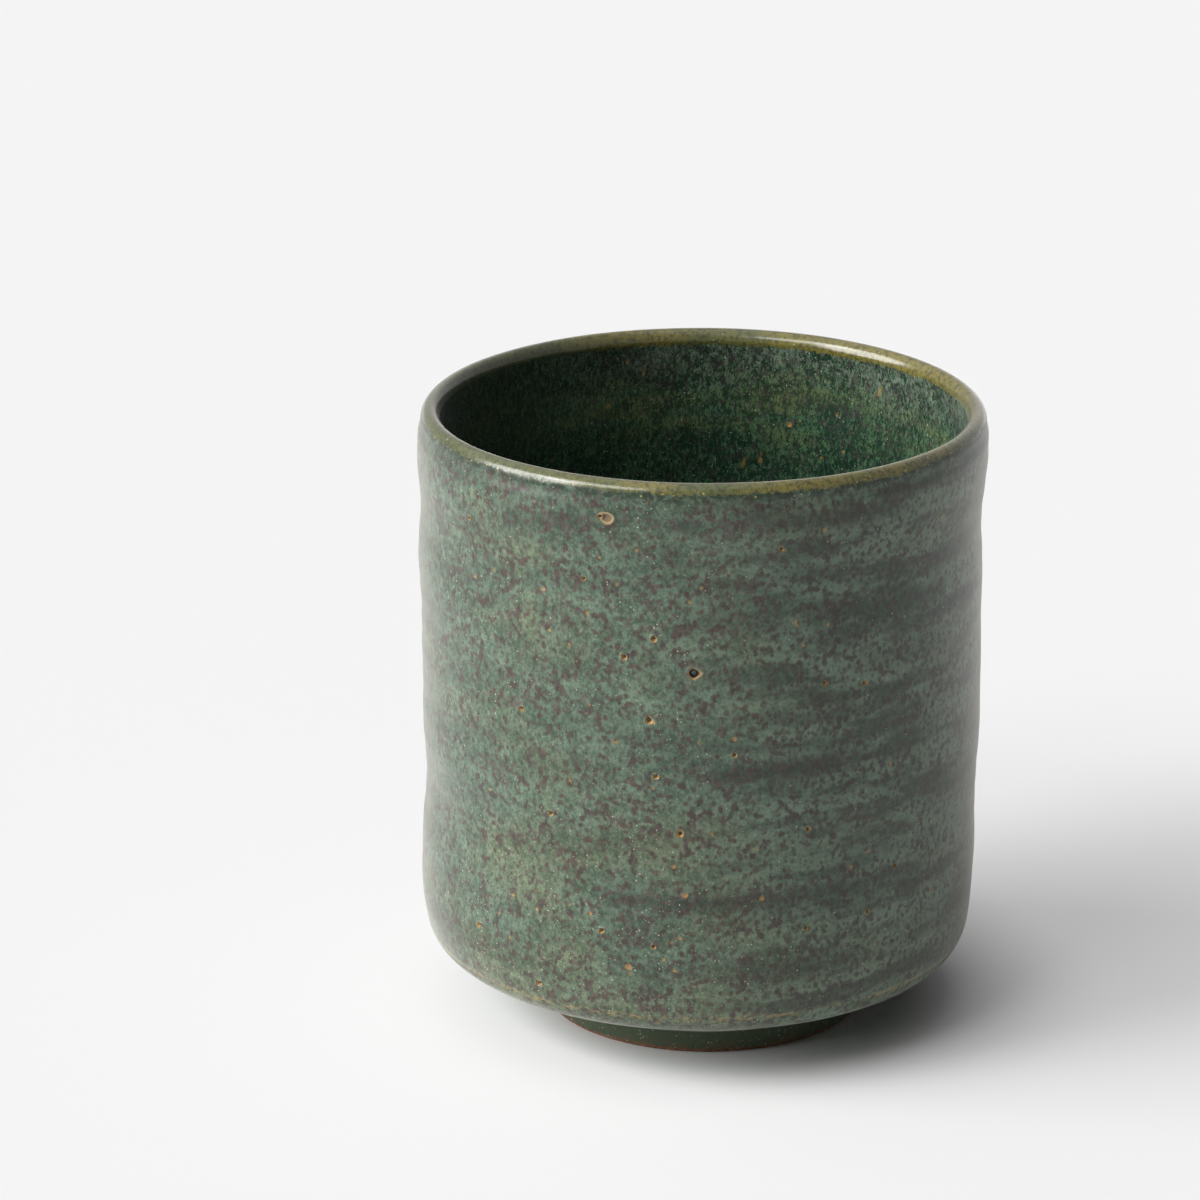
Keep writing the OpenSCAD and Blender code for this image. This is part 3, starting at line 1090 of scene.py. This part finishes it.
# Olive over the lip: colours, and the ragged heights at which it breaks
OLIVE_GREEN = (0.085, 0.1, 0.032, 1)
OLIVE_GOLD = (0.17, 0.145, 0.034, 1)
OLIVE_DARK = (0.03, 0.034, 0.012, 1)
POOLED_GREEN = (0.014, 0.028, 0.014, 1)
LIP_GOLD = (0.42, 0.32, 0.1, 1)
LIP_BREAK_OUTSIDE = 88.9
LIP_BREAK_INSIDE = 88.0
OUTER_SIDE = (lip_r - 0.8, lip_r + 0.4)
BREAK_WIDE_CLOUD = (5, 2)
BREAK_WIDE = 0.8
BREAK_FINE_CLOUD = (0.6, 3, 0.6)
BREAK_FINE = 1.6
BREAK_MIDDLE = 1.2
THIN_RANGE = (-0.15, 0.2)

# Its dark pooled line, grain, specks and golden edge
POOLED_RANGE = (-1.25, -0.7)
POOLED_CLOUD = (1.1, 3, 0.6)
POOLED_BREAK = (0.36, 0.56)
POOLED_COVER = 0.85
POOLED_SPECKS = 0.3
GOLDEN_CLOUD = (14, 2)
GOLDEN_RANGE = (0.38, 0.62)
GOLDEN_RIGHT = (-36.0, -4.0)
OLIVE_GRAIN_CLOUD = (0.7, 3, 0.65)
OLIVE_GRAIN_RANGE = (0.42, 0.66)
OLIVE_GRAIN = 0.75
OLIVE_SPECKS = 0.12
GOLD_LOW = (-0.7, 0.0)
GOLD_HIGH = (0.2, 0.7)
GOLD_OUTER = 0.75
GOLD_LEAST = 0.25
LIP_GOLD_SHARE = 0.3
GOLD_SIZE = 0.55
GOLD_CORE = 0.16
GOLD_SOFT = 0.16
GOLD_FAINT = 0.4
GOLD_MORE = 0.5


def olive_break_group():
    """Olive and golden brown where the coat runs thin over the lip, over a pooled dark line."""
    tree, given, out = new_group(
        "olive_break", (("Place", "Vector"), ("Color", "Color")),
        (("Color", "Color"), ("Thin", "Float")))
    place = given["Place"]
    outer = fade(tree, axis_distance(tree, place), *OUTER_SIDE)
    start = scaled(tree, outer, LIP_BREAK_OUTSIDE - LIP_BREAK_INSIDE, LIP_BREAK_INSIDE)
    wide = times(tree, cloud(tree, place, *BREAK_WIDE_CLOUD), BREAK_WIDE)
    ragged = plus(tree, wide, times(tree, cloud(tree, place, *BREAK_FINE_CLOUD), BREAK_FINE))
    height = plus(tree, part_of(tree, place, "Z"), minus(tree, ragged, BREAK_MIDDLE))
    above = minus(tree, height, start)
    thin = fade(tree, above, *THIN_RANGE)

    pooled = times(tree, fade(tree, above, *POOLED_RANGE), inverse(tree, thin))
    broken = fade(tree, cloud(tree, place, *POOLED_CLOUD), *POOLED_BREAK)
    pooled = times(tree, times(tree, pooled, outer), broken)
    color = mix_color(tree, times(tree, pooled, POOLED_COVER), given["Color"], POOLED_GREEN)

    golden = fade(tree, cloud(tree, place, *GOLDEN_CLOUD), *GOLDEN_RANGE)
    golden = times(tree, golden, fade(tree, part_of(tree, place, "X"), *GOLDEN_RIGHT))
    olive = mix_color(tree, golden, OLIVE_GREEN, OLIVE_GOLD)
    grain = fade(tree, cloud(tree, place, *OLIVE_GRAIN_CLOUD), *OLIVE_GRAIN_RANGE)
    olive = mix_color(tree, times(tree, grain, OLIVE_GRAIN), olive, OLIVE_DARK)
    color = mix_color(tree, thin, color, olive)
    # Pale specks on the olive and the pooled line, partly painted glints
    share = plus(tree, times(tree, thin, OLIVE_SPECKS), times(tree, pooled, POOLED_SPECKS))
    color = specked_and_glinted(tree, place, color, share)

    edge = times(tree, fade(tree, above, *GOLD_LOW), inverse(tree, fade(tree, above, *GOLD_HIGH)))
    edge = times(tree, edge, scaled(tree, outer, GOLD_OUTER, GOLD_LEAST))
    share = times(tree, edge, LIP_GOLD_SHARE)
    gold, bright = dots(tree, place, GOLD_SIZE, share, GOLD_CORE, GOLD_SOFT)
    gold = times(tree, gold, scaled(tree, bright, GOLD_MORE, GOLD_FAINT))
    tree.links.new(mix_color(tree, gold, color, LIP_GOLD), out["Color"])
    tree.links.new(thin, out["Thin"])
    return tree


def start_material(name):
    """A material with only its Principled shader, and that shader's inputs."""
    material = bpy.data.materials.new(name)
    material.use_nodes = True
    tree = material.node_tree
    return material, tree, tree.nodes["Principled BSDF"].inputs


def bump(tree, height, depth):
    made = add(tree, "ShaderNodeBump", {"Height": height, "Strength": 1.0, "Distance": depth * MM})
    return made.outputs["Normal"]


# Finish of the outer coat: satin on the wall, more matt below the turned line
SATIN_IOR = 1.4
SATIN_ROUGH = 0.34
SATIN_SHEEN = 0.9
SATIN_SHEEN_ROUGH = 0.35
SATIN_SHEEN_TINT = (1, 0.955, 0.9, 1)
TURNED_ROUGH = 0.5
TURNED_SHEEN = 0.35
BLOTCH_ROUGH = 0.05
PIT_ROUGH = 0.6
OUTER_BUMP = 0.022

# The turned line and the foot below it
HEEL_OCHRE = (0.3, 0.22, 0.08, 1)
HEEL_LINE_RANGE = (0.1, 0.8)
HEEL_LINE_STRETCH = (1, 1, 1.5)
HEEL_LINE_CLOUD = (0.8, 3, 0.65)
HEEL_LINE_BREAK = (0.48, 0.6)
HEEL_LINE_COVER = 0.65
FOOT_GREEN = (0.038, 0.055, 0.026, 1)
FOOT_BROWN = (0.085, 0.055, 0.022, 1)
FOOT_RANGE = (3.2, 6.0)
FOOT_COVER = 0.9
FOOT_SPECKS = 0.5
WORN_CLOUD = (2.4, 3)
WORN_SHARE = 1.2
WORN_FALL = -0.16
WORN_RANGE = (0.3, 0.7)


def heel_and_foot_group():
    """A colour with a broken ochre line round the heel, and worn brown on the foot."""
    tree, given, out = new_group(
        "heel_and_foot", (("Place", "Vector"), ("Color", "Color")), (("Color", "Color"),))
    place = given["Place"]
    z = part_of(tree, place, "Z")
    off_line = math_of(tree, "ABSOLUTE", minus(tree, z, HEEL_LINE_Z))
    line = inverse(tree, fade(tree, off_line, *HEEL_LINE_RANGE))
    broken = cloud(tree, stretched(tree, place, HEEL_LINE_STRETCH), *HEEL_LINE_CLOUD)
    line = times(tree, line, fade(tree, broken, *HEEL_LINE_BREAK))
    color = mix_color(tree, times(tree, line, HEEL_LINE_COVER), given["Color"], HEEL_OCHRE)
    worn = times(tree, cloud(tree, place, *WORN_CLOUD), WORN_SHARE)
    worn = fade(tree, plus(tree, worn, times(tree, z, WORN_FALL)), *WORN_RANGE)
    foot_color = mix_color(tree, worn, FOOT_GREEN, FOOT_BROWN)
    # Pale specks on the foot, partly painted glints
    foot_color = specked_and_glinted(tree, place, foot_color, FOOT_SPECKS)
    foot = times(tree, inverse(tree, fade(tree, z, *FOOT_RANGE)), FOOT_COVER)
    tree.links.new(mix_color(tree, foot, color, foot_color), out["Color"])
    return tree


def outer_material(name, sea_green, heel_and_foot, spot_color, rough_start, sheen):
    material, tree, shader = start_material(name)
    place = object_place(tree)
    glaze = place_group(tree, sea_green, {"Place": place, "Iron": attribute(tree, "iron")})
    turned = place_group(tree, heel_and_foot, {"Place": place, "Color": glaze["Color"]})
    tree.links.new(spotted(tree, spot_color, turned["Color"]), shader["Base Color"])
    rough = scaled(tree, glaze["Blotch"], BLOTCH_ROUGH, rough_start)
    rough = plus(tree, rough, times(tree, attribute(tree, "hole"), PIT_ROUGH))
    tree.links.new(rough, shader["Roughness"])
    shader["IOR"].default_value = SATIN_IOR
    shader["Sheen Weight"].default_value = sheen
    shader["Sheen Roughness"].default_value = SATIN_SHEEN_ROUGH
    shader["Sheen Tint"].default_value = SATIN_SHEEN_TINT
    tree.links.new(bump(tree, glaze["Height"], OUTER_BUMP), shader["Normal"])
    return material


# Finish of the lip: the wall's, with a clear gloss where the olive is
LIP_ROUGH = 0.2
LIP_BUMP = 0.035
LIP_GLOSS = 0.6
LIP_GLOSS_ROUGH = 0.18
LIP_SHEEN = 0.7
LIP_IRON = 0.3
LIP_SIDE = (lip_r - 0.6, lip_r + 0.4)


def lip_material(sea_green, deep_green, olive_break):
    material, tree, shader = start_material("lip_olive")
    place = object_place(tree)
    outer = place_group(tree, sea_green, {"Place": place, "Iron": LIP_IRON})
    inner = place_group(tree, deep_green, {"Place": place})
    side = fade(tree, axis_distance(tree, place), *LIP_SIDE)
    below = mix_color(tree, side, inner["Color"], outer["Color"])
    broken = place_group(tree, olive_break, {"Place": place, "Color": below})
    tree.links.new(broken["Color"], shader["Base Color"])
    rough = scaled(tree, broken["Thin"], LIP_ROUGH - SATIN_ROUGH, SATIN_ROUGH)
    tree.links.new(rough, shader["Roughness"])
    tree.links.new(times(tree, broken["Thin"], LIP_GLOSS), shader["Coat Weight"])
    shader["Coat Roughness"].default_value = LIP_GLOSS_ROUGH
    shader["IOR"].default_value = SATIN_IOR
    shader["Sheen Weight"].default_value = LIP_SHEEN
    shader["Sheen Roughness"].default_value = SATIN_SHEEN_ROUGH
    shader["Sheen Tint"].default_value = SATIN_SHEEN_TINT
    tree.links.new(bump(tree, outer["Height"], LIP_BUMP), shader["Normal"])
    return material


# Finish of the inside and of the foot recess
DEEP_ROUGH = 0.26
DEEP_SHEEN = 0.2
DEEP_BUMP = 0.03
RECESS_ROUGH = 0.35


def inner_material(deep_green, olive_break, spot_color):
    material, tree, shader = start_material("deep_green_gloss")
    place = object_place(tree)
    glaze = place_group(tree, deep_green, {"Place": place})
    broken = place_group(tree, olive_break, {"Place": place, "Color": glaze["Color"]})
    tree.links.new(spotted(tree, spot_color, broken["Color"]), shader["Base Color"])
    shader["Roughness"].default_value = DEEP_ROUGH
    shader["Sheen Weight"].default_value = DEEP_SHEEN
    shader["Sheen Roughness"].default_value = SATIN_SHEEN_ROUGH
    tree.links.new(bump(tree, glaze["Height"], DEEP_BUMP), shader["Normal"])
    return material


def recess_material(deep_green):
    material, tree, shader = start_material("recess_olive")
    glaze = place_group(tree, deep_green, {"Place": object_place(tree)})
    tree.links.new(glaze["Color"], shader["Base Color"])
    shader["Roughness"].default_value = RECESS_ROUGH
    return material


# Finish of the bare clay
CLAY_DARK = (0.1, 0.042, 0.02, 1)
CLAY_LIGHT = (0.24, 0.115, 0.06, 1)
CLAY_GRAIN_CLOUD = (0.6, 4, 0.65)
CLAY_GRAIN_RANGE = (0.35, 0.68)
CLAY_ROUGH = 0.85
CLAY_BUMP = 0.05


def clay_material():
    material, tree, shader = start_material("bare_stoneware")
    grain = fade(tree, cloud(tree, object_place(tree), *CLAY_GRAIN_CLOUD), *CLAY_GRAIN_RANGE)
    tree.links.new(mix_color(tree, grain, CLAY_DARK, CLAY_LIGHT), shader["Base Color"])
    shader["Roughness"].default_value = CLAY_ROUGH
    tree.links.new(bump(tree, grain, CLAY_BUMP), shader["Normal"])
    return material


def make_outer_coat(wall_finish, turned_finish, chance):
    glazed = outside(0, WALL_STEP, CURVE_STEP)
    clay = outside(OUTER_T, HIDDEN_STEP, HIDDEN_STEP)
    bm = lathe(glazed + clay[::-1], SEGMENTS)
    for layer in ("iron", "hole", "rim", "pale"):
        bm.verts.layers.float.new(layer)
    press_spots(bm, outer_spots(chance), wall, -1)
    streaks = iron_streaks(chance)
    iron = bm.verts.layers.float["iron"]
    for vert in bm.verts:
        vert[iron] = iron_at(streaks, vert.co)
    for face in bm.faces:
        face.material_index = int(face.calc_center_median().z < HEEL_LINE_Z)
    make_piece("outer_coat", bm, (wall_finish, turned_finish), "outer_glaze")


def make_lip_coat(finish):
    bm = lathe(lip(0, CURVE_STEP / 2) + lip(1, CURVE_STEP)[::-1], SEGMENTS)
    make_piece("lip_coat", bm, (finish,), "lip_glaze")


def make_inner_coat(finish, chance):
    glazed = inside(0, INNER_STEP, INNER_STEP)
    clay = inside(INNER_T, HIDDEN_STEP, HIDDEN_STEP)
    bm = lathe(glazed[::-1] + clay, SEGMENTS)
    for layer in ("hole", "rim", "pale"):
        bm.verts.layers.float.new(layer)
    press_spots(bm, inner_spots(chance), inner_wall, 1)
    make_piece("inner_coat", bm, (finish,), "inner_glaze")


def make_recess_coat(finish):
    glazed = recess(0, INNER_STEP, CURVE_STEP)
    clay = recess(RECESS_T, HIDDEN_STEP, CURVE_STEP)
    bm = lathe(glazed[::-1] + clay, SEGMENTS // 2)
    make_piece("recess_coat", bm, (finish,), "recess_glaze")


def make_stoneware_body(finish):
    outline = recess(RECESS_T, HIDDEN_STEP, CURVE_STEP)[::-1] + standing_ring()
    outline += outside(OUTER_T, HIDDEN_STEP, CURVE_STEP) + lip(1, CURVE_STEP)[1:]
    outline += inside(INNER_T, HIDDEN_STEP, HIDDEN_STEP)[1:]
    bm = lathe(outline, SEGMENTS // 2)
    make_piece("stoneware_body", bm, (finish,), "clay_body")


# Floor: its size in metres, and how far painted light, a glow that only the camera sees, lightens it
# and the cup's shadow away from the cup
FLOOR_SIZE = 12.0
FLOOR_COLOR = (0.88, 0.88, 0.88, 1)
FLOOR_ROUGH = 0.9
PAINTED_FLOOR_LIGHT = 0.4
PAINTED_FLOOR_LIGHT_START = 28.0
PAINTED_FLOOR_LIGHT_END = 62.0


def floor_material():
    """A matt white with a glow that only camera rays see, painted light that lightens the cup's
    shadow away from the cup.
    """
    material, tree, shader = start_material("pale_floor")
    shader["Base Color"].default_value = FLOOR_COLOR
    shader["Roughness"].default_value = FLOOR_ROUGH
    shader["Specular IOR Level"].default_value = 0.0
    glow = add(tree, "ShaderNodeEmission", {"Color": FLOOR_COLOR})
    seen = add(tree, "ShaderNodeLightPath").outputs["Is Camera Ray"]
    far = add(tree, "ShaderNodeVectorMath", {0: object_place(tree)}, operation="LENGTH")
    # Painted light on the floor: it lightens the cup's shadow more the farther it lies from the cup
    painted_light = fade(tree, far.outputs["Value"], PAINTED_FLOOR_LIGHT_START, PAINTED_FLOOR_LIGHT_END)
    surface = add(tree, "ShaderNodeMixShader", {
        0: times(tree, seen, times(tree, painted_light, PAINTED_FLOOR_LIGHT)),
        1: tree.nodes["Principled BSDF"].outputs[0],
        2: glow.outputs[0],
    })
    tree.links.new(surface.outputs[0], tree.nodes["Material Output"].inputs["Surface"])
    return material


def make_stage():
    bm = bmesh.new()
    bmesh.ops.create_grid(bm, x_segments=1, y_segments=1, size=FLOOR_SIZE / 2)
    mesh = bpy.data.meshes.new("pale_floor")
    bm.to_mesh(mesh)
    bm.free()
    mesh.materials.append(floor_material())
    floor = bpy.data.objects.new("pale_floor", mesh)
    bpy.context.scene.collection.objects.link(floor)


# Lamps: share of the floor's light, turn left of the front, height and width as angles
WINDOW = (0.46, math.radians(77), math.radians(23), math.radians(44))
SKYLIGHT = (0.14, math.radians(66), math.radians(42), math.radians(20))
FRONT = (0.13, math.radians(40), math.radians(42), math.radians(20))
CEILING = (0.27, math.radians(85), math.radians(60), math.radians(90))

# World: as it lights, as the camera sees it and as gloss mirrors it
SKY_STRENGTH = 0.05
SEEN_SKY = 0.88
MIRRORED_SKY = 0.45


def make_lamp(name, share, turn, height, width):
    """A distant soft lamp that gives the floor a share of its light."""
    level = math.cos(height)
    direction = Vector((-level * math.sin(turn), -level * math.cos(turn), math.sin(height)))
    lamp = bpy.data.lights.new(name, "SUN")
    lamp.energy = share * math.pi / direction.z
    lamp.angle = width
    placed = bpy.data.objects.new(name, lamp)
    placed.rotation_euler = direction.to_track_quat("Z", "Y").to_euler()
    bpy.context.scene.collection.objects.link(placed)


def make_world():
    world = bpy.data.worlds.new("soft_room")
    world.use_nodes = True
    tree = world.node_tree
    shader = tree.nodes["Background"].inputs
    path = add(tree, "ShaderNodeLightPath").outputs
    seen = greater(tree, path["Is Camera Ray"], path["Is Transmission Ray"])
    seen = times(tree, seen, SEEN_SKY - SKY_STRENGTH)
    mirrored = times(tree, path["Is Glossy Ray"], MIRRORED_SKY - SKY_STRENGTH)
    strength = plus(tree, greater(tree, seen, mirrored), SKY_STRENGTH)
    tree.links.new(strength, shader["Strength"])
    shader["Color"].default_value = (1, 1, 1, 1)
    bpy.context.scene.world = world


def make_light():
    make_lamp("window_light", *WINDOW)
    make_lamp("left_skylight", *SKYLIGHT)
    make_lamp("front_skylight", *FRONT)
    make_lamp("ceiling_light", *CEILING)
    make_world()
    bpy.context.scene.view_settings.view_transform = "Standard"


make_camera()
sea_green = sea_green_group()
deep_green = deep_green_group()
olive_break = olive_break_group()
heel_and_foot = heel_and_foot_group()
spot_color = spot_color_group()
outer_groups = (sea_green, heel_and_foot, spot_color)
satin = outer_material("satin_sea_green", *outer_groups, SATIN_ROUGH, SATIN_SHEEN)
turned = outer_material("turned_sea_green", *outer_groups, TURNED_ROUGH, TURNED_SHEEN)
chance = random.Random(BACK_SEED)
make_outer_coat(satin, turned, chance)
make_lip_coat(lip_material(sea_green, deep_green, olive_break))
make_inner_coat(inner_material(deep_green, olive_break, spot_color), chance)
make_recess_coat(recess_material(deep_green))
make_stoneware_body(clay_material())
make_stage()
make_light()
